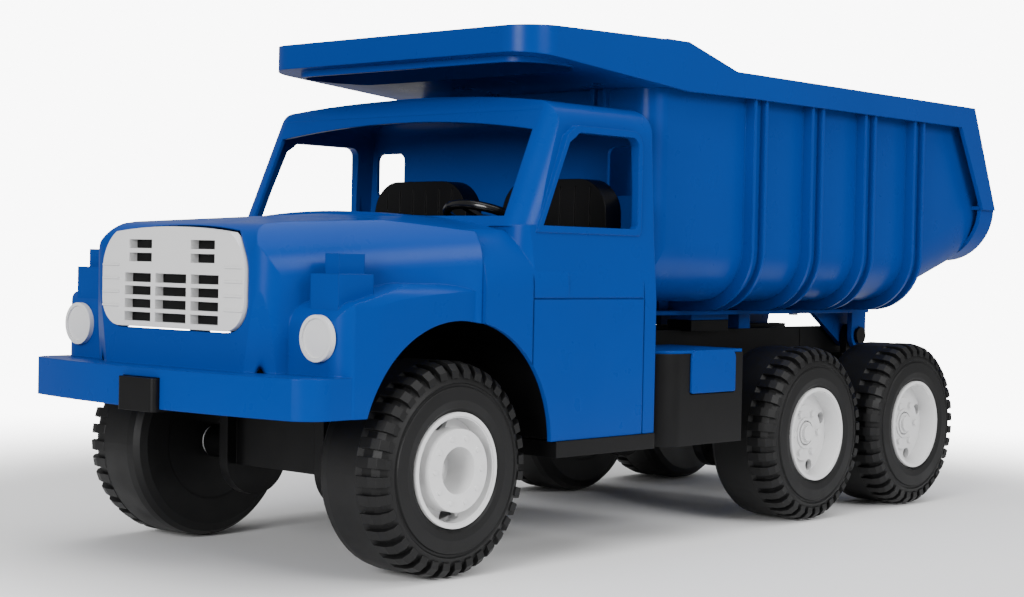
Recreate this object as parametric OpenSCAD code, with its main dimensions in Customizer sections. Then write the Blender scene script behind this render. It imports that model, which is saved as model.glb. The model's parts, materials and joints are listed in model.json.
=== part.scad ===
// Toy dump truck with three axles and a tipping bed.
// Front of the truck is +X, its left side is +Y, the ground is z = 0, millimetres throughout.

/* [Wheels] */
// Wheel diameter over the tread lugs
tyre_d = 118; // [114:1:120]
// Wheel width
tyre_w = 50; // [44:1:52]
// Rim diameter where it meets the tyre
rim_d = 63; // [60:0.5:66]
// Tread lugs round each wheel
lug_count = 36; // [24:1:44]
// Axle rod diameter
rod_d = 8; // [7:0.5:9]
// Radial running clearance of a wheel on its rod
rod_clear = 0.05; // [0.02:0.01:0.09]
// Width over the wheels
track_w = 255; // [250:1:260]

/* [Axles] */
// Front axle position along X
front_axle_x = 253; // [248:0.5:256]
// Front axle to middle axle
wheelbase = 355.6; // [350:0.2:360]
// Middle axle to rear axle
bogie = 131.5; // [126:0.5:136]

/* [Cab] */
// Cab width over the doors
cab_w = 255; // [250:1:258]
// Shell wall thickness
shell_t = 2.8; // [2:0.1:3.5]
// Roof height at the centre
roof_z = 272; // [268:1:276]
// Corner radius of the cab windows
window_r = 6; // [3:0.5:10]
// Wheel arch radius
arch_r = 71.5; // [68:0.5:74]

/* [Front end] */
// Bonnet half width at the grille
bonnet_hw = 74; // [68:1:78]
// Angle of the bonnet sides
bonnet_angle = 24; // [18:0.5:27]
// Bumper lower edge height
bumper_z = 89.5; // [86:0.5:92]
// Bumper upper edge height
bumper_top = 111; // [108:0.5:114]
// Headlamp diameter
lamp_d = 24.5; // [20:0.5:27]

/* [Bed] */
// Bed width over the rim
bed_w = 232; // [226:1:236]
// Width over the tub walls
tub_w = 212; // [206:1:216]
// Tub wall thickness
bed_t = 3; // [2.4:0.1:3.6]
// Underside of the tub floor
bed_z = 148; // [146:0.5:150]
// Rim height
rim_z = 298; // [292:1:304]
// Rib spacing
rib_pitch = 69; // [66:0.5:70]
// Slope of the tail floor
tail_angle = 17; // [12:0.5:20]
// Largest tipping angle the parts are shaped for
tip_angle = 50; // [30:1:55]

/* [Hidden] */
fx = front_axle_x;
mx = fx - wheelbase;
rx = mx - bogie;
axle_z = tyre_d / 2;
tyre_r = tyre_d / 2;
yo = track_w / 2;
yi = yo - tyre_w;
rim_r = rim_d / 2;
rod_r = rod_d / 2;
bore_r = rod_r + rod_clear;
hw = cab_w / 2;
split_x = fx - 20;
cab_back = fx - 172;
screen_x = fx - 54.5;
screen_z = 199.5;
screen_k = 0.449;
bonnet_top = 200;
arch_x = fx - 5;
arch_z = 68;
bed_front = fx - 194;
bed_tail = fx - 625;
rim_back = fx - 586;
knee_x = fx - 514;
rib_x0 = fx - 300;
hinge_x = fx - 525;
hinge_z = 120.5;
rail_top = 127;
rail_bottom = 100;
rail_y0 = 24;
rail_y1 = 36;
steer_x = fx - 94;
steer_y = 60;
steer_z = 192;
steer_lean = 22;
seat_top = 150;
$fn = 72;

// ---------------------------------------------------------------- helpers

// children drawn in X-Z, thickened from y0 to y1
module slab_y(y0, y1) {
    translate([0, y1, 0])
        rotate([90, 0, 0])
            linear_extrude(height = y1 - y0)
                children();
}

// children drawn in Y-Z, thickened from x0 to x1
module slab_x(x0, x1) {
    translate([x0, 0, 0])
        rotate([90, 0, 90])
            linear_extrude(height = x1 - x0)
                children();
}

// children drawn in X-Y, thickened from z0 to z1
module slab_z(z0, z1) {
    translate([0, 0, z0])
        linear_extrude(height = z1 - z0)
            children();
}

module box(x0, x1, y0, y1, z0, z1) {
    translate([x0, y0, z0])
        cube([x1 - x0, y1 - y0, z1 - z0]);
}

// both sides of the centre plane
module both() {
    children();
    mirror([0, 1, 0])
        children();
}

module rod_y(x, z, r, y0, y1) {
    translate([x, y1, z])
        rotate([90, 0, 0])
            cylinder(h = y1 - y0, r = r);
}

module rod_x(y, z, r, x0, x1) {
    translate([x0, y, z])
        rotate([0, 90, 0])
            cylinder(h = x1 - x0, r = r);
}

module rod_z(x, y, r, z0, z1) {
    translate([x, y, z0])
        cylinder(h = z1 - z0, r = r);
}

// rectangle with upper corner radius rt and lower corner radius rb
module rrect2(x0, y0, x1, y1, rt, rb) {
    translate([x0, y0 + rb])
        square([x1 - x0, y1 - y0 - rt - rb]);
    translate([x0 + rb, y0])
        square([x1 - x0 - 2 * rb, y1 - y0 - rt]);
    translate([x0 + rt, y0 + rb])
        square([x1 - x0 - 2 * rt, y1 - y0 - rb]);
    for (x = [x0 + rb, x1 - rb])
        translate([x, y0 + rb])
            circle(r = rb);
    for (x = [x0 + rt, x1 - rt])
        translate([x, y1 - rt])
            circle(r = rt);
}

module rrect(x0, y0, x1, y1, r) {
    rrect2(x0, y0, x1, y1, r, r);
}

// trough section: flat bottom, round lower corners, open upwards
module trough(half, r, z0, z1) {
    translate([-half, z0 + r])
        square([2 * half, z1 - z0 - r]);
    translate([-(half - r), z0])
        square([2 * (half - r), r + 1]);
    for (s = [-1, 1])
        translate([s * (half - r), z0 + r])
            circle(r = r);
}

// ---------------------------------------------------------------- cab and front end forms
// Each form takes the inset t, so the same module gives the outer face and the hollow.

// side and shoulder of the bonnet: slanted outwards to the rear and falling towards the front
module bonnet_side(s, t) {
    r = 32;
    translate([fx + 94, s * bonnet_hw, bonnet_top - 6.6])
        rotate([0, 0, -s * bonnet_angle])
            rotate([0, 4, 0])
                slab_x(-200, 60)
                    scale([s, 1])
                        union() {
                            translate([-400, -150])
                                square([400 - t, 150 - r]);
                            translate([-400, -100])
                                square([400 - r, 100 - t]);
                            translate([-r, -r])
                                circle(r = r - t);
                        }
}

// bonnet outline from above: round front corners between the grille and the slanted sides
module bonnet_plan(t) {
    r = 16;
    a = bonnet_angle;
    cx = fx + 94 - r;
    cy = bonnet_hw + r * (sin(a) - 1) / cos(a);
    ex = cx + (r - t) * sin(a);
    ey = cy + (r - t) * cos(a);
    back = split_x - 30;
    by = ey + (ex - back) * tan(a + 2);
    polygon([
        [fx + 94 - t, -cy],
        [fx + 94 - t, cy],
        [cx, cy],
        [ex, ey],
        [back, by],
        [back, -by],
        [ex, -ey],
        [cx, -cy]
    ]);
    for (s = [-1, 1])
        translate([cx, s * cy])
            circle(r = r - t);
}

module bonnet_form(t) {
    cr = 16;
    intersection() {
        slab_y(-140, 140)
            union() {
                polygon([
                    [split_x - 20, bumper_z - 3 * t],
                    [fx + 94 - t, bumper_z - 3 * t],
                    [fx + 94 - t, 174],
                    [fx + 94 - cr, 190 - t],
                    [fx + 6, bonnet_top - 1 - t],
                    [split_x - 20, bonnet_top - t]
                ]);
                translate([fx + 94 - cr, 174])
                    circle(r = cr - t);
            }
        bonnet_side(1, t);
        bonnet_side(-1, t);
        slab_z(40, 260)
            bonnet_plan(t);
        slab_x(split_x - 20, fx + 110)
            translate([0, bonnet_top - 600])
                circle(r = 600 - t, $fn = 180);
    }
}

module fender_side(s, t, grow) {
    r = 13;
    translate([split_x, s * hw, 0])
        rotate([0, 0, -s * 3.4])
            slab_x(-200, 160)
                scale([s, 1])
                    union() {
                        translate([-400, 60 - t])
                            square([400 - t + grow, 159 - r - 60 + t]);
                        translate([-400, 70])
                            square([400 - r, 159 - 70 - t]);
                        translate([-r, 159 - r])
                            circle(r = r - t);
                    }
}

module fender_form(t) {
    cr = 14;
    front = fx + 80.3;
    intersection() {
        slab_y(-140, 140)
            union() {
                polygon([
                    [split_x - 20, bumper_z - 3 * t],
                    [front - t, bumper_z - 3 * t],
                    [front - t, 150 - cr],
                    [front - cr, 150 - t],
                    [fx + 30, 159 - t],
                    [split_x - 20, 159 - t]
                ]);
                translate([front - cr, 150 - cr])
                    circle(r = cr - t);
            }
        fender_side(1, t, 0);
        fender_side(-1, t, 0);
        slab_z(40, 200)
            rrect(fx - 200, -123 + t, front - t, 123 - t, 13 - t);
    }
}

module bumper_form(t) {
    z_low = bumper_z - 3 * t;
    r = 18;
    cx = 88.3;
    cy = 121.5 - r;
    intersection() {
        box(fx + 40, fx + 130, -140, 140, z_low, bumper_top - t);
        translate([fx + 114.8 - 620, 0, 0])
            cylinder(h = 200, r = 620 - t, $fn = 180);
        slab_z(40, 200) {
            translate([fx - 100, -cy])
                square([240, 2 * cy]);
            translate([fx - 100, -121.5 + t])
                square([100 + cx, 243 - 2 * t]);
            for (s = [-1, 1])
                translate([fx + cx, s * cy])
                    circle(r = r - t);
        }
    }
}

// staircase block standing on each fender beside the bonnet
module fender_steps(t) {
    for (s = [[72, 54, 98, 108.7, 174.5], [76.7, 52, 92, 113.7, 164]])
        both()
            box(fx + s[1] + t, fx + s[0] - t, s[2] + t, s[3] - t, 120, s[4] - t);
}

module front_form(t) {
    bonnet_form(t);
    fender_form(t);
    bumper_form(t);
    fender_steps(t);
}

// cab cross-section seen along X
module cab_section(t) {
    z0 = t > 0 ? 60 : 70;
    polygon([
        [-hw + t, z0],
        [hw - t, z0],
        [hw - t, 150],
        [hw - 3 - t, 192],
        [hw - 6 - t, 250],
        [-hw + 6 + t, 250],
        [-hw + 3 + t, 192],
        [-hw + t, 150]
    ]);
    for (s = [-1, 1])
        translate([s * (hw - 22), 250])
            circle(r = 16 - t);
    intersection() {
        translate([-hw + 22, 240])
            square([2 * hw - 44, 60]);
        translate([0, roof_z - 930])
            circle(r = 930 - t, $fn = 180);
    }
}

// cab outline seen from the side
module cab_profile(t) {
    rr = 16;
    z0 = t > 0 ? 60 : 70;
    wt = t / 0.912;
    cz = roof_z - rr;
    cx = screen_x - screen_k * (cz - screen_z) - rr / 0.912;
    polygon([
        [cab_back + t, z0],
        [screen_x - screen_k * (z0 - screen_z) - wt, z0],
        [screen_x - screen_k * (cz + 4 - screen_z) - wt, cz + 4],
        [cx + 4, cz + rr - t],
        [cab_back + rr, cz + rr - t],
        [cab_back + t, cz]
    ]);
    translate([cx, cz])
        circle(r = rr - t);
    translate([cab_back + rr, cz])
        circle(r = rr - t);
}

module cowl_form(t) {
    r = 40;
    z0 = t > 0 ? 60 : 70;
    x1 = t > 0 ? split_x + 5 : split_x;
    intersection() {
        slab_x(fx - 90, x1)
            union() {
                translate([-hw + t, z0])
                    square([2 * (hw - t), 197 - r - z0]);
                translate([-hw + r, 100])
                    square([2 * (hw - r), 97 - t + 3.5]);
                for (s = [-1, 1])
                    translate([s * (hw - r), 197 - r])
                        circle(r = r - t);
            }
        slab_x(fx - 90, x1)
            translate([0, bonnet_top - 600])
                circle(r = 600 - t, $fn = 180);
    }
}

// upper cab: the section follows the slope of the windscreen, which rounds the front pillars
module pillar_form(t) {
    translate([screen_x, 0, screen_z])
        rotate([0, -atan(screen_k), 0])
            translate([0, 0, -40])
                linear_extrude(height = 160)
                    rrect(-300, -hw + 3 + t, -t, hw - 3 - t, 15 - t);
}

module cab_form(t) {
    sill = 193;
    intersection() {
        slab_x(cab_back - 10, fx)
            cab_section(t);
        slab_y(-140, 140)
            cab_profile(t);
        union() {
            slab_z(50, sill)
                rrect(cab_back - 60, -hw + t, screen_x + 2 - t, hw - t, 15 - t);
            intersection() {
                pillar_form(t);
                box(cab_back - 10, fx, -140, 140, sill - 1, 300);
            }
        }
    }
    cowl_form(t);
}

module arch_cut() {
    rod_y(arch_x, arch_z, arch_r, -150, 150);
}

// ---------------------------------------------------------------- grille outline

module grille_outline(g) {
    intersection() {
        rrect2(-62 - g, 132 - g, 62 + g, 187.8 + g, 25 + g, 16 + g);
        translate([0, 187.5 - 420])
            circle(r = 420 + g, $fn = 180);
    }
}

// ---------------------------------------------------------------- nodes: front end

module front_body() {
    color([0.02, 0.18, 0.62])
        difference() {
            intersection() {
                front_form(0);
                box(split_x, fx + 140, -140, 140, 40, 300);
            }
            front_form(shell_t);
            arch_cut();
            // hood mouth for the grille
            slab_x(fx + 80, fx + 100)
                grille_outline(0.9);
            // bumper notch for the tow block
            box(fx + 106, fx + 130, -16.2, 16.2, 60, 106.4);
            // lamp sockets
            both()
                rod_x(103.8, 130.6, 9.3, fx + 70, fx + 90);
            // screw holes in the bumper return
            both()
                rod_z(fx + 92, 96, 2.2, 100, 120);
        }
    // bosses that sit on the frame brackets
    color([0.02, 0.18, 0.62])
        both()
            difference() {
                rod_z(fx + 40, 44, 6, rail_top, 192);
                rod_z(fx + 40, 44, 2, rail_top - 1, 160);
            }
}

module grille() {
    color([0.93, 0.93, 0.91]) {
        difference() {
            slab_x(fx + 90.5, fx + 96)
                grille_outline(0);
            // upper louvre pairs
            for (s = [-1, 1])
                for (z = [168, 175.4])
                    slab_x(fx + 80, fx + 100)
                        translate([s * 27.2 - 10.2, z])
                            square([20.4, 4.8]);
            // lower louvres, three columns of four
            for (c = [[-41, 23.5], [-13.5, 27], [17.5, 23.5]])
                for (k = [0:3])
                    slab_x(fx + 80, fx + 100)
                        translate([c[0], 135 + k * 7.2])
                            square([c[1], 5]);
        }
        // short trim bars beside the louvres
        for (s = [-1, 1])
            for (k = [0:3])
                slab_x(fx + 94, fx + 96.8)
                    translate([s * 53.5 - 7.5, 142.6 + k * 7.6])
                        square([15, 1.2]);
        // clips behind the plate
        for (s = [-1, 1])
            box(fx + 84, fx + 91, s * 52 - 3, s * 52 + 3, 156, 162);
    }
}

module grille_screen() {
    color([0.05, 0.05, 0.05])
        difference() {
            slab_x(fx + 88.4, fx + 90.4)
                grille_outline(-1.5);
            for (s = [-1, 1])
                box(fx + 80, fx + 95, s * 52 - 3.6, s * 52 + 3.6, 155.4, 162.6);
        }
}

module headlamp() {
    color([0.93, 0.93, 0.91])
        difference() {
            union() {
                rod_x(103.8, 130.6, lamp_d / 2, fx + 80.3, fx + 83.3);
                rod_x(103.8, 130.6, 9, fx + 72, fx + 81);
            }
            rod_x(103.8, 130.6, lamp_d / 2 - 2, fx + 82.3, fx + 84);
            rod_x(103.8, 130.6, 7, fx + 71, fx + 78);
        }
}

module headlamp_left() {
    headlamp();
}

module headlamp_right() {
    mirror([0, 1, 0])
        headlamp();
}

module tow_block() {
    color([0.06, 0.06, 0.065])
        slab_z(88, 106)
            intersection() {
                rrect(fx + 80, -15.8, fx + 119, 15.8, 3);
                translate([fx + 98, -20])
                    square([40, 40]);
            }
}

// ---------------------------------------------------------------- nodes: cab

// door window, straight-sided with a sloping front edge, grown by g
module side_window(g) {
    r = window_r + g;
    x_b = fx - 154.6 - g;
    z0 = 193 - g;
    z1 = 247.5 + g;
    x_f = fx - 68.6 + 1.4 * g;
    x_t = x_f - 0.449 * (z1 - z0) - 4;
    polygon([
        [x_b + 2, z0],
        [x_f, z0],
        [x_f - 0.449 * (z1 - 6 - z0), z1 - 6],
        [x_t - 3, z1],
        [x_b + r, z1],
        [x_b, z1 - r],
        [x_b, z0 + 2]
    ]);
    translate([x_b + r, z1 - r])
        circle(r = r);
    translate([x_t - 4.2, z1 - 7])
        circle(r = 7);
}

module windscreen_outline() {
    intersection() {
        union() {
            polygon([
                [-108.5, 198],
                [108.5, 198],
                [108.5, 243],
                [-108.5, 243]
            ]);
            rrect(-108.5, 210, 108.5, 256, window_r + 1);
        }
        translate([0, 256 - 780])
            circle(r = 780, $fn = 180);
    }
}

module cab_shell() {
    color([0.02, 0.18, 0.62]) {
        difference() {
            cab_form(0);
            cab_form(shell_t);
            arch_cut();
            // windscreen
            slab_x(fx - 95, fx - 40)
                windscreen_outline();
            // door windows
            slab_y(-150, 150)
                side_window(0);
            // two small back windows
            both()
                slab_x(cab_back - 5, cab_back + 8)
                    rrect(89, 214, 115.5, 244, window_r - 1);
            // tunnel for the rails
            box(cab_back - 5, cab_back + 6, -rail_y1 - 0.4, rail_y1 + 0.4, rail_bottom - 0.4, rail_top + 0.4);
            // door outline grooves
            both() {
                box(fx - 60, fx - 59, hw - 0.9, hw + 5, 70, 190);
                box(cab_back + 11, cab_back + 12, hw - 0.9, hw + 5, 70, 190);
                box(cab_back + 11, fx - 59, hw - 0.9, hw + 5, 151, 152);
            }
        }
        // raised frame round the door windows
        both()
            difference() {
                slab_y(hw - 7, hw - 2)
                    side_window(4);
                slab_y(hw - 8, hw)
                    side_window(0);
            }
    }
}

module cab_floor() {
    y = hw - shell_t - 0.4;
    color([0.07, 0.07, 0.075])
        difference() {
            slab_y(-y, y)
                polygon([
                    [cab_back + 3.2, 71],
                    [fx - 79, 71],
                    [fx - 79, 141],
                    [split_x - 1, 141],
                    [split_x - 1, 144],
                    [fx - 82, 144],
                    [fx - 82, 74],
                    [cab_back + 3.2, 74]
                ]);
            both() {
                rod_z(cab_back + 30, 60, 2.2, 60, 80);
                // pockets for the outrigger posts
                for (x = [cab_back + 6, fx - 102])
                    box(x - 0.3, x + 12.3, rail_y0 - 0.3, rail_y1 + 0.3, 60, 80);
                // slots for the rails
                box(fx - 90, fx - 75, rail_y0 - 0.3, rail_y1 + 0.3, rail_bottom - 0.3, rail_top + 0.3);
            }
        }
}

module seat() {
    y0 = 16;
    y1 = 101;
    color([0.05, 0.05, 0.055])
        difference() {
            union() {
                // cushion and its plinth
                box(cab_back + 17, cab_back + 70, y0, y1, 129, seat_top);
                box(cab_back + 17, cab_back + 62, 40, y1 - 3, 74, 130);
                // back with big round top corners
                slab_x(cab_back + 3.2, cab_back + 18)
                    rrect2(y0, 129, y1, 224, 22, 1);
            }
            box(cab_back + 20, cab_back + 59, 43, y1 - 6, 70, 147);
            slab_x(cab_back, cab_back + 15)
                rrect2(y0 + 3, 126, y1 - 3, 221, 19, 1);
            // sewn channels of the back
            for (k = [0:5])
                box(cab_back + 17.2, cab_back + 19, y0 + 12 + k * 12, y0 + 13.2 + k * 12, 152, 219);
            // sewn channels of the cushion
            for (k = [0:3])
                box(cab_back + 24, cab_back + 66, y0 + 16 + k * 17, y0 + 17.2 + k * 17, seat_top - 0.8, seat_top + 1);
        }
}

module seat_left() {
    seat();
}

module seat_right() {
    mirror([0, 1, 0])
        seat();
}

module dashboard() {
    color([0.06, 0.06, 0.065])
        difference() {
            slab_y(-118, 118)
                polygon([
                    [fx - 82, 144],
                    [fx - 60, 144],
                    [fx - 60, 186],
                    [fx - 68, 190],
                    [fx - 86, 180],
                    [fx - 86, 150]
                ]);
            slab_y(-115, 115)
                polygon([
                    [fx - 79, 140],
                    [fx - 57, 140],
                    [fx - 57, 183],
                    [fx - 68, 187],
                    [fx - 83, 178],
                    [fx - 83, 151]
                ]);
            // column socket
            translate([steer_x, steer_y, steer_z])
                rotate([0, -steer_lean, 0])
                    translate([0, 0, -60])
                        cylinder(h = 60, r = 4.6);
        }
}

module steering_column() {
    color([0.05, 0.05, 0.055])
        translate([steer_x, steer_y, steer_z])
            rotate([0, -steer_lean, 0])
                difference() {
                    translate([0, 0, -46])
                        cylinder(h = 46, r = 4.2);
                    translate([0, 0, -8])
                        cylinder(h = 10, r = 2.5);
                }
}

module steering_wheel() {
    color([0.03, 0.03, 0.032])
        translate([steer_x, steer_y, steer_z])
            rotate([0, -steer_lean, 0]) {
                translate([0, 0, 3.5])
                    rotate_extrude()
                        translate([27, 0])
                            circle(r = 2.8, $fn = 24);
                cylinder(h = 5.5, r = 7.5);
                translate([0, 0, -7.5])
                    cylinder(h = 8, r = 2.4);
                for (a = [0, 120, 240])
                    rotate([0, 0, a])
                        translate([5, -2.2, 1.8])
                            cube([21, 4.4, 2.6]);
            }
}

module sill() {
    color([0.07, 0.07, 0.075])
        difference() {
            box(cab_back, fx - 80.5, 100, hw + 0.8, 60.5, 69.8);
            box(cab_back + 3, fx - 83.5, 103, hw - 2.2, 56, 66.8);
        }
}

module side_sill_left() {
    sill();
}

module side_sill_right() {
    mirror([0, 1, 0])
        sill();
}

// ---------------------------------------------------------------- nodes: side boxes

module toolbox_outline(t) {
    x0 = fx - 268 + t;
    x1 = fx - 184 - t;
    r = 18 - t;
    translate([x0, 66 + t])
        square([x1 - x0, 125 - r - 66 - 2 * t]);
    translate([x0, 66 + t])
        square([x1 - x0 - r, 125 - 66 - 2 * t]);
    translate([x1 - r, 125 - t - r])
        circle(r = r);
}

module toolbox() {
    color([0.07, 0.07, 0.075])
        difference() {
            slab_z(59.5, 117)
                toolbox_outline(0);
            slab_z(50, 114)
                toolbox_outline(2.6);
            // recess that takes the lid panel
            slab_y(122.8, 126)
                rrect2(fx - 259.6, 91.4, fx - 211.4, 125, 6, 1);
            // holes for the frame screws
            for (x = [fx - 250, fx - 202])
                rod_y(x, 108, 2.1, 60, 72);
        }
}

module toolbox_left() {
    toolbox();
}

module toolbox_right() {
    mirror([0, 1, 0])
        toolbox();
}

module toolbox_lid() {
    color([0.02, 0.2, 0.66])
        union() {
            slab_z(117, 119)
                toolbox_outline(0.4);
            slab_y(122.9, 126)
                rrect2(fx - 259, 92, fx - 212, 119, 6, 1.5);
        }
}

module toolbox_lid_left() {
    toolbox_lid();
}

module toolbox_lid_right() {
    mirror([0, 1, 0])
        toolbox_lid();
}

// ---------------------------------------------------------------- nodes: chassis

module chassis_frame() {
    color([0.08, 0.08, 0.085])
        difference() {
            union() {
                both() {
                    // main rail
                    box(hinge_x - 16, fx + 68, rail_y0, rail_y1, rail_bottom, rail_top);
                    // lowered horn that carries the tow block
                    box(fx + 56, fx + 98, rail_y0 - 10, rail_y1 - 8, 91, 107);
                    box(fx + 56, fx + 68, rail_y0 - 10, rail_y1, 91, rail_top);
                    // bracket under the bonnet boss
                    box(fx + 33, fx + 47, rail_y1 - 1, 51, 119, rail_top);
                    // outriggers under the cab floor
                    box(cab_back + 6, cab_back + 18, rail_y1 - 1, 99.6, 71 - 12, 70.6);
                    box(cab_back + 6, cab_back + 18, rail_y0, rail_y1, 59, rail_bottom + 1);
                    box(fx - 102, fx - 90, rail_y1 - 1, 99.6, 71 - 12, 70.6);
                    box(fx - 102, fx - 90, rail_y0, rail_y1, 59, rail_bottom + 1);
                    // side-box bracket
                    box(fx - 262, fx - 190, rail_y1 - 1, 65.8, 101, 113);
                    // pads the bed rests on
                    box(fx - 364, fx - 320, rail_y0, rail_y1 + 9, rail_top - 1, 133.8);
                    // ear outside the bed bracket
                    slab_y(43, 48.5)
                        union() {
                            translate([hinge_x, hinge_z])
                                circle(r = 8.5);
                            translate([hinge_x - 8.5, 100])
                                square([17, hinge_z - 100]);
                        }
                }
                // cross members
                for (x = [fx + 57, fx - 100, cab_back + 7, fx - 250, fx - 350, fx - 420, hinge_x - 15])
                    box(x, x + 10, -rail_y0 - 1, rail_y0 + 1, rail_bottom, rail_top - 4);
                // cross beam under the bed hinge
                box(hinge_x - 14, hinge_x + 14, -48.5, 48.5, 96, 107);
                // front cross beam behind the tow block
                box(fx + 86, fx + 98, -20, 20, 91, 107);
            }
            rod_y(hinge_x, hinge_z, rod_r, -60, 60);
            // joint line of the rear frame section
            both()
                box(mx - 115, mx - 114, rail_y1 - 0.8, rail_y1 + 2, rail_bottom, rail_top - 1);
            both() {
                for (x = [fx - 250, fx - 202])
                    rod_y(x, 108, 1.8, 52, 70);
                rod_z(fx + 40, 44, 1.8, 110, 130);
            }
        }
}

module cradle_plate(x, r) {
    translate([x, 53])
        circle(r = r);
    translate([x - r, 53])
        square([2 * r, rail_bottom - 53]);
}

module axle_group(x) {
    difference() {
        union() {
            // tube round the rod
            rod_y(x, axle_z, 10, -(yi - 1), yi - 1);
            both() {
                // cradle plates with a raised edge
                slab_y(38, 44)
                    cradle_plate(x, 23);
                difference() {
                    slab_y(43, 45.5)
                        cradle_plate(x, 23);
                    slab_y(42, 47)
                        cradle_plate(x, 19.5);
                }
            }
            // pedestal up to the rails
            box(x - 16, x + 16, -40, 40, axle_z - 10, rail_bottom);
        }
        rod_y(x, axle_z, rod_r, -100, 100);
        // coring of the pedestal
        box(x - 12, x + 12, -rail_y1 + 4, rail_y1 - 4, axle_z + 12, rail_bottom - 4);
    }
}

module front_axle_beam() {
    color([0.08, 0.08, 0.085])
        axle_group(fx);
}

module rear_axle_carrier() {
    color([0.08, 0.08, 0.085]) {
        axle_group(mx);
        axle_group(rx);
        difference() {
            box(rx + 10, mx - 10, -16, 16, axle_z - 10, axle_z + 12);
            box(rx + 14, mx - 14, -12, 12, axle_z - 14, axle_z + 8);
        }
    }
}

module axle_rod(x, y_end) {
    color([0.72, 0.73, 0.75])
        rod_y(x, axle_z, rod_r, -y_end, y_end);
}

module front_rod() {
    axle_rod(fx, yo - 16.5);
}

module middle_rod() {
    axle_rod(mx, yo - 9);
}

module rear_rod() {
    axle_rod(rx, yo - 9);
}

// push-on retaining cap, drawn at its place on a rod
module cap(x, y) {
    difference() {
        union() {
            rod_y(x, axle_z, 7.5, y, y + 2);
            rod_y(x, axle_z, 5.6, y + 1, y + 4);
        }
        rod_y(x, axle_z, rod_r, y - 1, y + 2.8);
    }
}

module rod_caps() {
    color([0.75, 0.76, 0.78])
        both() {
            cap(fx, yo - 19.2);
            cap(mx, yo - 11.2);
            cap(rx, yo - 11.2);
        }
}

// ---------------------------------------------------------------- nodes: wheels
// A wheel is drawn on +Z about its own axis, h measured outwards from the truck's centre plane.

module tread_star() {
    step = 360 / lug_count;
    polygon([
        for (i = [0:lug_count - 1])
            for (q = [[48, 0], [62, 0], [62, 0.56], [48, 0.56]])
                [q[0] * cos(step * (i + q[1])), q[0] * sin(step * (i + q[1]))]
    ]);
}

module tyre_form() {
    // black web that closes the inner side
    rotate_extrude()
        ring_section(9.4, rim_r + 4, yi + 0.9, yi + 4.7);
    rotate_extrude()
        polygon([
            [rim_r, yi + 1.5],
            [36, yi + 0.6],
            [51, yi],
            [55.5, yi + 1.5],
            [58, yi + 5],
            [tyre_r - 0.3, yi + 10],
            [tyre_r - 0.3, yo - 18],
            [tyre_r - 2.4, yo - 15.5],
            [tyre_r - 3, yo - 9],
            [tyre_r - 5, yo - 4.5],
            [tyre_r - 8, yo - 1.9],
            [47.5, yo - 0.4],
            [46.8, yo - 1.3],
            [45.6, yo - 1.3],
            [45, yo - 0.2],
            [38, yo],
            [34, yo - 0.6],
            [rim_r, yo - 2.4],
            [rim_r, yo - 5.5],
            [38, yo - 4],
            [48, yo - 5],
            [tyre_r - 8.5, yo - 7],
            [tyre_r - 5.6, yo - 13],
            [tyre_r - 4.4, yo - 20],
            [tyre_r - 4.4, yi + 9],
            [52, yi + 4.5],
            [36, yi + 4.6],
            [rim_r, yi + 5]
        ]);
    // shoulder lugs
    intersection() {
        rotate_extrude()
            polygon([
                [tyre_r - 3.4, yo - 18.6],
                [tyre_r - 0.8, yo - 18.6],
                [tyre_r, yo - 17.4],
                [tyre_r, yo - 9],
                [tyre_r - 1.4, yo - 3.8],
                [tyre_r - 5, yo - 0.6],
                [tyre_r - 9, yo - 0.6],
                [tyre_r - 9, yo - 4],
                [tyre_r - 6, yo - 7],
                [tyre_r - 4, yo - 11]
            ]);
        translate([0, 0, yo - 30])
            linear_extrude(height = 32)
                tread_star();
    }
}

module ring_section(r0, r1, h0, h1) {
    translate([r0, h0])
        square([r1 - r0, h1 - h0]);
}

module front_rim_form() {
    difference() {
        rotate_extrude()
            union() {
                ring_section(rim_r - 3, rim_r, yi + 5, yo - 1);
                ring_section(rim_r - 2.2, rim_r, yo - 2, yo - 0.2);
                ring_section(19.6, rim_r - 2, yo - 14, yo - 11);
                ring_section(19.6, 22.6, yo - 14, yo + 0.6);
                ring_section(12.8, 22.6, yo - 2.4, yo + 0.6);
                ring_section(12.8, 15.8, yo - 22.5, yo + 0.6);
                ring_section(bore_r, 15.8, yo - 22.5, yo - 19.5);
                ring_section(bore_r, 9, yi + 0.5, yo - 19.5);
            }
        for (a = [0:90:270])
            rotate([0, 0, a + 8])
                intersection() {
                    translate([27.2, 0, yo - 16])
                        cylinder(h = 8, r = 6.3);
                    translate([0, 0, yo - 17])
                        cylinder(h = 10, r = rim_r - 1.4);
                }
    }
    // bolt heads
    for (a = [0:36:324])
        rotate([0, 0, a])
            translate([18, 0, yo - 0.4])
                cylinder(h = 1.6, r = 1.5, $fn = 24);
}

module rear_rim_form() {
    difference() {
        rotate_extrude()
            union() {
                ring_section(rim_r - 3, rim_r, yi + 5, yo - 1);
                ring_section(rim_r - 2.2, rim_r, yo - 2, yo - 0.2);
                ring_section(bore_r, rim_r - 1, yo - 16.5, yo - 13);
                ring_section(8.6, 19, yo - 13.5, yo - 10.5);
                ring_section(8.6, 10.6, yo - 12, yo - 9.5);
                ring_section(bore_r, 9, yi + 0.5, yo - 12);
            }
        for (a = [0:90:270])
            rotate([0, 0, a + 22])
                translate([24.5, 0, yo - 18])
                    cylinder(h = 16, r = 3.9);
    }
    for (a = [0:60:300])
        rotate([0, 0, a])
            translate([14.8, 0, yo - 11])
                cylinder(h = 2.6, r = 2.2, $fn = 24);
}

// puts a wheel form on the left of an axle
module on_left(x) {
    translate([x, 0, axle_z])
        rotate([-90, 0, 0])
            children();
}

// puts a wheel form on the right of an axle
module on_right(x) {
    mirror([0, 1, 0])
        on_left(x)
            children();
}

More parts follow.
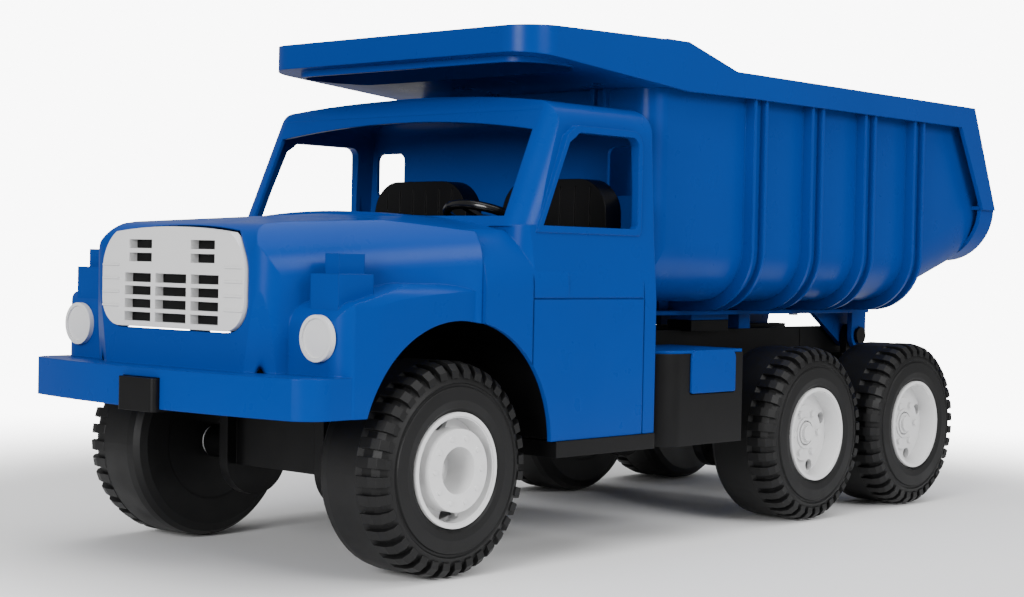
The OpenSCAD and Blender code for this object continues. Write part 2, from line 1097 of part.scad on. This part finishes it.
module tyre_fl() {
    color([0.05, 0.05, 0.05])
        on_left(fx)
            tyre_form();
}

module rim_fl() {
    color([0.93, 0.93, 0.92])
        on_left(fx)
            front_rim_form();
}

module tyre_fr() {
    color([0.05, 0.05, 0.05])
        on_right(fx)
            tyre_form();
}

module rim_fr() {
    color([0.93, 0.93, 0.92])
        on_right(fx)
            front_rim_form();
}

module tyre_ml() {
    color([0.05, 0.05, 0.05])
        on_left(mx)
            tyre_form();
}

module rim_ml() {
    color([0.93, 0.93, 0.92])
        on_left(mx)
            rear_rim_form();
}

module tyre_mr() {
    color([0.05, 0.05, 0.05])
        on_right(mx)
            tyre_form();
}

module rim_mr() {
    color([0.93, 0.93, 0.92])
        on_right(mx)
            rear_rim_form();
}

module tyre_rl() {
    color([0.05, 0.05, 0.05])
        on_left(rx)
            tyre_form();
}

module rim_rl() {
    color([0.93, 0.93, 0.92])
        on_left(rx)
            rear_rim_form();
}

module tyre_rr() {
    color([0.05, 0.05, 0.05])
        on_right(rx)
            tyre_form();
}

module rim_rr() {
    color([0.93, 0.93, 0.92])
        on_right(rx)
            rear_rim_form();
}

// ---------------------------------------------------------------- nodes: bed

// the tub as one solid; t insets it to give the load space
module tub_form(t) {
    half = tub_w / 2 - t;
    intersection() {
        slab_x(bed_tail - 60, bed_front - t)
            trough(half, 36 - t, bed_z + t, 420);
        translate([knee_x, 0, bed_z])
            rotate([0, tail_angle, 0])
                slab_x(-260, 420)
                    trough(half, 38.5 - t, t, 700);
        slab_z(100, 420)
            rrect(bed_tail - 90, -half, bed_front - t, half, 14 - t);
        slab_y(-140, 140)
            rrect(bed_tail - 90, bed_z + t, bed_front - t, 440, 18 - t);
    }
}

// everything below the rim line, seen from the side
module under_rim() {
    polygon([
        [bed_tail, 150],
        [bed_tail, 181],
        [bed_tail + 2, 220],
        [rim_back, rim_z],
        [fx - 268, rim_z],
        [fx - 215, rim_z + 14],
        [bed_front + 10, rim_z + 14],
        [bed_front + 10, 100],
        [bed_tail, 100]
    ]);
}

// rim band and canopy edge, seen from the side
module rim_band() {
    polygon([
        [fx - 66, 292.5],
        [fx - 66, 308],
        [fx - 215, rim_z + 14],
        [fx - 268, rim_z],
        [rim_back, rim_z],
        [bed_tail + 2, 220],
        [bed_tail + 22, 220],
        [rim_back + 20, rim_z - 16],
        [fx - 286, rim_z - 16],
        [fx - 216, 281]
    ]);
}

module canopy_plan(t) {
    rrect(bed_tail - 90, -bed_w / 2 + t, fx - 66 - t, bed_w / 2 - t, 23 - t);
}

module bed_ribs() {
    for (k = [0:3]) {
        x = rib_x0 - k * rib_pitch;
        slab_x(x - 8, x + 8)
            trough(tub_w / 2 + 3, 38, bed_z - 3, rim_z - 14);
        for (e = [-8, 5])
            slab_x(x + e, x + e + 3)
                trough(tub_w / 2 + 7.5, 42, bed_z - 7, rim_z - 14);
    }
}

module dump_bed() {
    h = tub_w / 2;
    w = bed_w / 2;
    color([0.02, 0.18, 0.62])
        difference() {
            union() {
                // tub walls
                intersection() {
                    tub_form(0);
                    slab_y(-130, 130)
                        under_rim();
                }
                bed_ribs();
                // rim skirt and canopy edge
                difference() {
                    intersection() {
                        slab_y(-w, w)
                            rim_band();
                        slab_z(150, 400)
                            canopy_plan(0);
                    }
                    slab_z(140, 410)
                        canopy_plan(bed_t);
                }
                // top flange from the tub wall to the skirt
                both()
                    slab_y(h - 1, w - 1)
                        polygon([
                            [rim_back, rim_z - 3],
                            [rim_back, rim_z],
                            [fx - 268, rim_z],
                            [fx - 215, rim_z + 14],
                            [bed_front, rim_z + 14],
                            [bed_front, rim_z + 11],
                            [fx - 214.5, rim_z + 11],
                            [fx - 267.5, rim_z - 3]
                        ]);
                // sloping end flange and its foot
                both()
                    slab_y(h - 1, w - 1)
                        polygon([
                            [rim_back, rim_z],
                            [bed_tail + 2, 220],
                            [bed_tail + 22, 220],
                            [bed_tail + 22, 223],
                            [bed_tail + 5.3, 223],
                            [rim_back + 3.3, rim_z - 1]
                        ]);
                // canopy deck
                intersection() {
                    slab_y(-w + 1, w - 1)
                        polygon([
                            [bed_front - 3, 282.4],
                            [fx - 67, 292.4],
                            [fx - 67, 295.4],
                            [bed_front - 3, 285.5]
                        ]);
                    slab_z(150, 400)
                        canopy_plan(0.5);
                }
                // raised panel on the deck
                slab_z(288, 303)
                    rrect(fx - 135, -104, fx - 75, 104, 23);
                // round skirt of the tail
                difference() {
                    slab_x(bed_tail, bed_tail + 21)
                        trough(h + 7.5, 41.5, 180, 221);
                    slab_x(bed_tail + 3, bed_tail + 40)
                        trough(h + 4.5, 38.5, 183, 260);
                }
                // closes the rim channel at the front corners
                both()
                    box(bed_front - 3, bed_front, h - 1, w - 1, 283, rim_z + 13);
                // stiffeners on the front wall
                for (y = [-70, -60, 57, 67])
                    box(bed_front - 2, bed_front + 4, y, y + 3, 165, 284);
            }
            tub_form(bed_t);
            // opens the tub into the canopy
            box(bed_front - 6, bed_front + 8, -h + bed_t, h - bed_t, 285.4, 400);
            // hollow of the raised panel
            slab_z(270, 300)
                rrect(fx - 132, -101, fx - 78, 101, 20);
            // bores of the underframe screws
            both()
                for (x = [fx - 235, fx - 470])
                    rod_z(x, 30, 2.2, 130, 160);
        }
}

module hinge_plate() {
    // gusset with a round eye
    polygon([
        [hinge_x - 9, hinge_z],
        [hinge_x - 14, 139],
        [hinge_x + 47, 139],
        [hinge_x + 6.5, hinge_z - 6.5]
    ]);
    translate([hinge_x, hinge_z])
        circle(r = 9);
}

module bed_underframe() {
    color([0.02, 0.17, 0.58])
        difference() {
            union() {
                // base plate under the ribs
                box(hinge_x - 14, bed_front - 12, -54, 54, 138, bed_z - 7);
                both() {
                    slab_y(37.5, 41.5)
                        hinge_plate();
                    slab_y(50, 54)
                        union() {
                            translate([hinge_x, hinge_z])
                                circle(r = 10);
                            translate([hinge_x - 10, hinge_z])
                                square([20, 139 - hinge_z]);
                        }
                    // front feet over the frame pads
                    box(fx - 364, fx - 320, 27, 45, 134, 139);
                    // second feet over the rails
                    box(fx - 391, fx - 377, 25, 45, 127.4, 139);
                }
                // front keel block
                box(fx - 320, fx - 281, -46, 46, 138, bed_z - 0.0);
            }
            // notch for the first rib
            box(rib_x0 - 8, rib_x0 + 8, -50, 50, bed_z - 7, bed_z + 2);
            rod_y(hinge_x, hinge_z, bore_r, -60, 60);
            // counterbores for the rod heads
            both()
                rod_y(hinge_x, hinge_z, 7, 53, 60);
            // weight-saving openings in the base plate
            for (x = [hinge_x + 60, fx - 300 - 69 + 20])
                box(x, x + 28, -20, 20, 130, 150);
            both()
                for (x = [fx - 235, fx - 470])
                    rod_z(x, 30, 1.8, 130, 160);
        }
}

module hinge_rod() {
    color([0.72, 0.73, 0.75]) {
        rod_y(hinge_x, hinge_z, rod_r, -56, 56);
        both()
            rod_y(hinge_x, hinge_z, 6.4, 54.4, 56.6);
    }
}

// round-head screws: bonnet bosses, floor and side-box brackets
module screw(l) {
    cylinder(h = 2.2, r = 3.4);
    translate([0, 0, -l])
        cylinder(h = l + 0.5, r = 1.7);
}

module frame_screws() {
    color([0.7, 0.71, 0.73])
        both() {
            translate([fx + 40, 44, 119])
                rotate([180, 0, 0])
                    screw(18);
            for (x = [fx - 250, fx - 202])
                translate([x, 68.6, 108])
                    rotate([-90, 0, 0])
                        screw(12);
        }
}

module bed_screws() {
    color([0.7, 0.71, 0.73])
        both()
            for (x = [fx - 235, fx - 470])
                translate([x, 30, 138])
                    rotate([180, 0, 0])
                        screw(9);
}

// ---------------------------------------------------------------- choice of node

front_body();
grille();
grille_screen();
headlamp_left();
headlamp_right();
tow_block();
cab_shell();
cab_floor();
seat_left();
seat_right();
dashboard();
steering_column();
steering_wheel();
side_sill_left();
side_sill_right();
toolbox_left();
toolbox_right();
toolbox_lid_left();
toolbox_lid_right();
chassis_frame();
front_axle_beam();
rear_axle_carrier();
front_rod();
middle_rod();
rear_rod();
rod_caps();
frame_screws();
hinge_rod();
tyre_fl();
rim_fl();
tyre_fr();
rim_fr();
tyre_ml();
rim_ml();
tyre_mr();
rim_mr();
tyre_rl();
rim_rl();
tyre_rr();
rim_rr();
dump_bed();
bed_underframe();
bed_screws();
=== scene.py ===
"""Looks for the toy dump truck: moulded plastic and steel rods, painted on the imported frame.

The script adds no pieces. It paints every node, and sets the camera, the lights and the floor.
"""

import json
import math

import bpy
from mathutils import Matrix, Vector


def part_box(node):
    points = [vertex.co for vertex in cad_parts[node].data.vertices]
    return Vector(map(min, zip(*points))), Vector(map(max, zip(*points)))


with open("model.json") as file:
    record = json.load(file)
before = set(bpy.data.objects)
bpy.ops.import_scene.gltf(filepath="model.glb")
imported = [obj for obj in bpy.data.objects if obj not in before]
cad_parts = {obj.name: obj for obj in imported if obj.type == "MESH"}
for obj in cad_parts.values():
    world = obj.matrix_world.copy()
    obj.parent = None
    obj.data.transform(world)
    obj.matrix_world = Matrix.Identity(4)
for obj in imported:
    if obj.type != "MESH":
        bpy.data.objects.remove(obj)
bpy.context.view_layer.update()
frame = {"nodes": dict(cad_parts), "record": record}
nodes = frame["nodes"]
record = frame["record"]

MM = 0.001

# noise spans most of its range between these two values
RAMP_START = 0.3
RAMP_END = 0.7

# noise scales, in waves per metre
FLOW_SCALE = 9.0
GLOSS_SCALE = 60.0
GRAIN_SCALE = 1500.0
GRAIN_HEIGHT = 0.2 * MM
GLOSS_SPREAD = 0.12
BEVEL_SAMPLES = 4


# ---------------------------------------------------------------- materials


def new_material(name):
    mat = bpy.data.materials.new(name)
    mat.use_nodes = True
    tree = mat.node_tree
    shader = tree.nodes["Principled BSDF"]
    return mat, tree, shader


def noise(tree, scale, detail=3.0, stretch=(1.0, 1.0, 1.0)):
    """Noise in object coordinates, which are the frame's metres."""
    coords = tree.nodes.new("ShaderNodeTexCoord")
    mapping = tree.nodes.new("ShaderNodeMapping")
    mapping.inputs["Scale"].default_value = stretch
    texture = tree.nodes.new("ShaderNodeTexNoise")
    texture.inputs["Scale"].default_value = scale
    texture.inputs["Detail"].default_value = detail
    tree.links.new(coords.outputs["Object"], mapping.inputs["Vector"])
    tree.links.new(mapping.outputs["Vector"], texture.inputs["Vector"])
    return texture.outputs["Fac"]


def ramp(tree, fac, low, high):
    """A noise value turned into a colour or grey between low and high."""
    node = tree.nodes.new("ShaderNodeValToRGB")
    node.color_ramp.elements[0].position = RAMP_START
    node.color_ramp.elements[1].position = RAMP_END
    node.color_ramp.elements[0].color = low
    node.color_ramp.elements[1].color = high
    tree.links.new(fac, node.inputs["Fac"])
    return node.outputs["Color"]


def grey(value):
    return (value, value, value, 1.0)


def shaded(colour, factor):
    return tuple(c * factor for c in colour) + (1.0,)


def soft_edges(tree, radius):
    """Normals rounded over the edges, as a mould leaves them."""
    bevel = tree.nodes.new("ShaderNodeBevel")
    bevel.samples = BEVEL_SAMPLES
    bevel.inputs["Radius"].default_value = radius
    return bevel.outputs["Normal"]


def bump(tree, height, strength, distance, normal=None):
    node = tree.nodes.new("ShaderNodeBump")
    node.inputs["Strength"].default_value = strength
    node.inputs["Distance"].default_value = distance
    tree.links.new(height, node.inputs["Height"])
    if normal is not None:
        tree.links.new(normal, node.inputs["Normal"])
    return node.outputs["Normal"]


def plastic(name, colour, rough, grain, edge, spread, specular=0.5):
    """Moulded plastic: faint flow marks in the colour, uneven gloss and a fine moulded grain."""
    mat, tree, shader = new_material(name)
    flow = noise(tree, FLOW_SCALE, 2.0, (1.0, 1.0, 1.6))
    tone = ramp(tree, flow, shaded(colour, 1.0 - spread), shaded(colour, 1.0 + spread))
    tree.links.new(tone, shader.inputs["Base Color"])
    low, high = grey(rough * (1.0 - GLOSS_SPREAD)), grey(rough * (1.0 + GLOSS_SPREAD))
    gloss = ramp(tree, noise(tree, GLOSS_SCALE), low, high)
    tree.links.new(gloss, shader.inputs["Roughness"])
    surface = noise(tree, GRAIN_SCALE, 1.0)
    normal = bump(tree, surface, grain, GRAIN_HEIGHT, soft_edges(tree, edge))
    tree.links.new(normal, shader.inputs["Normal"])
    shader.inputs["Specular IOR Level"].default_value = specular
    return mat


def steel(name):
    """Drawn steel rod: fine marks along the rod, which lies along Y."""
    mat, tree, shader = new_material(name)
    shader.inputs["Metallic"].default_value = 1.0
    marks = noise(tree, 300.0, 4.0, (4.0, 0.2, 4.0))
    tone = ramp(tree, marks, (0.48, 0.49, 0.51, 1.0), (0.66, 0.67, 0.69, 1.0))
    tree.links.new(tone, shader.inputs["Base Color"])
    tree.links.new(ramp(tree, marks, grey(0.24), grey(0.38)), shader.inputs["Roughness"])
    tree.links.new(bump(tree, marks, 0.12, 0.0001), shader.inputs["Normal"])
    return mat


BLUE = (0.0, 0.043, 0.262)
WHITE = (0.74, 0.74, 0.74)
BLACK = (0.0035, 0.0035, 0.0038)
TYRE = (0.0042, 0.0042, 0.0044)

blue = plastic("blue_plastic", BLUE, 0.30, 0.04, 1.2 * MM, 0.03, specular=0.12)
white = plastic("white_plastic", WHITE, 0.36, 0.10, 0.5 * MM, 0.015)
black = plastic("black_plastic", BLACK, 0.42, 0.15, 0.7 * MM, 0.15, specular=0.2)
trim = plastic("black_gloss", BLACK, 0.2, 0.05, 0.6 * MM, 0.1)
tyre = plastic("tyre_plastic", TYRE, 0.5, 0.2, 0.5 * MM, 0.18, specular=0.3)
rod_steel = steel("steel")

BY_SLOT = {
    "blue_plastic": blue,
    "white_plastic": white,
    "black_plastic": black,
    "tyre_plastic": tyre,
    "steel": rod_steel,
}


def paint(obj, mat):
    obj.data.materials.clear()
    obj.data.materials.append(mat)


for part in record["subparts"]:
    paint(nodes[part["node"]], BY_SLOT[part["material_slot"]])
paint(nodes["steering_wheel"], trim)


# ---------------------------------------------------------------- camera, lights, floor

front_axle = sum(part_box("rim_fl"), Vector()) / 2
CAMERA_FROM_AXLE = Vector((726.8, 816.5, 172.6)) * MM
CAMERA_YAW = 221.91
CAMERA_PITCH = -1.16
CAMERA_ROLL = 1.19
LENS_MM = 65.46
SENSOR_MM = 36.0
CLIP_START = 0.01

LIGHT_TARGET = Vector((0.0, 0.0, 0.14))
# name, place in metres, size of the panel in metres, watts
LIGHTS = (
    ("key", (0.2, 2.1, 1.1), (1.2, 0.9), 30.0),
    ("top", (-0.2, 0.2, 2.2), (3.0, 2.4), 52.0),
    ("front", (2.1, 0.5, 0.7), (0.8, 0.8), 34.0),
)
WORLD_LIGHT = 0.36
WORLD_SEEN = 9.0

FLOOR_FADE = (0.40, 0.95)
FLOOR_SIZE = 4.0
FLOOR_Z = -0.0005


def add_camera():
    data = bpy.data.cameras.new("camera")
    data.lens = LENS_MM
    data.sensor_width = SENSOR_MM
    data.clip_start = CLIP_START
    cam = bpy.data.objects.new("camera", data)
    bpy.context.collection.objects.link(cam)
    turn = Matrix.Rotation(math.radians(CAMERA_YAW - 90), 4, "Z")
    tilt = Matrix.Rotation(math.radians(90 + CAMERA_PITCH), 4, "X")
    roll = Matrix.Rotation(math.radians(CAMERA_ROLL), 4, "Z")
    place = Vector((front_axle.x, 0, 0)) + CAMERA_FROM_AXLE
    cam.matrix_world = Matrix.Translation(place) @ turn @ tilt @ roll
    bpy.context.scene.camera = cam


def add_light(name, place, size, power):
    data = bpy.data.lights.new(name, "AREA")
    data.shape = "RECTANGLE"
    data.size = size[0]
    data.size_y = size[1]
    data.energy = power
    lamp = bpy.data.objects.new(name, data)
    bpy.context.collection.objects.link(lamp)
    lamp.location = place
    look = LIGHT_TARGET - Vector(place)
    lamp.rotation_euler = look.to_track_quat("-Z", "Y").to_euler()


def add_world(strength, seen):
    """A soft white studio: strength lights the truck, seen is how bright the backdrop looks."""
    world = bpy.data.worlds.new("studio")
    world.use_nodes = True
    tree = world.node_tree
    back = tree.nodes["Background"]
    back.inputs["Color"].default_value = (1.0, 1.0, 1.0, 1.0)
    path = tree.nodes.new("ShaderNodeLightPath")
    mix = tree.nodes.new("ShaderNodeMix")
    mix.inputs["A"].default_value = strength
    mix.inputs["B"].default_value = seen
    tree.links.new(path.outputs["Is Camera Ray"], mix.inputs["Factor"])
    tree.links.new(mix.outputs["Result"], back.inputs["Strength"])
    bpy.context.scene.world = world


def fade_out(tree, shader, near, far):
    """Thins the floor to nothing between two distances, so the white studio shows behind it."""
    coords = tree.nodes.new("ShaderNodeTexCoord")
    length = tree.nodes.new("ShaderNodeVectorMath")
    length.operation = "LENGTH"
    fade = tree.nodes.new("ShaderNodeMapRange")
    fade.interpolation_type = "SMOOTHSTEP"
    fade.inputs["From Min"].default_value = near
    fade.inputs["From Max"].default_value = far
    clear = tree.nodes.new("ShaderNodeBsdfTransparent")
    mix = tree.nodes.new("ShaderNodeMixShader")
    tree.links.new(coords.outputs["Object"], length.inputs[0])
    tree.links.new(length.outputs["Value"], fade.inputs["Value"])
    tree.links.new(fade.outputs["Result"], mix.inputs["Fac"])
    tree.links.new(shader.outputs["BSDF"], mix.inputs[1])
    tree.links.new(clear.outputs["BSDF"], mix.inputs[2])
    tree.links.new(mix.outputs["Shader"], tree.nodes["Material Output"].inputs["Surface"])


def add_floor():
    bpy.ops.mesh.primitive_plane_add(size=FLOOR_SIZE, location=(0, 0, FLOOR_Z))
    floor = bpy.context.object
    floor.name = "studio_floor"
    mat, tree, shader = new_material("floor_paper")
    tone = ramp(tree, noise(tree, 3.0), grey(0.95), grey(0.97))
    tree.links.new(tone, shader.inputs["Base Color"])
    shader.inputs["Roughness"].default_value = 0.9
    fade_out(tree, shader, *FLOOR_FADE)
    paint(floor, mat)


add_camera()
add_world(WORLD_LIGHT, WORLD_SEEN)
for name, place, size, power in LIGHTS:
    add_light(name, place, size, power)
add_floor()
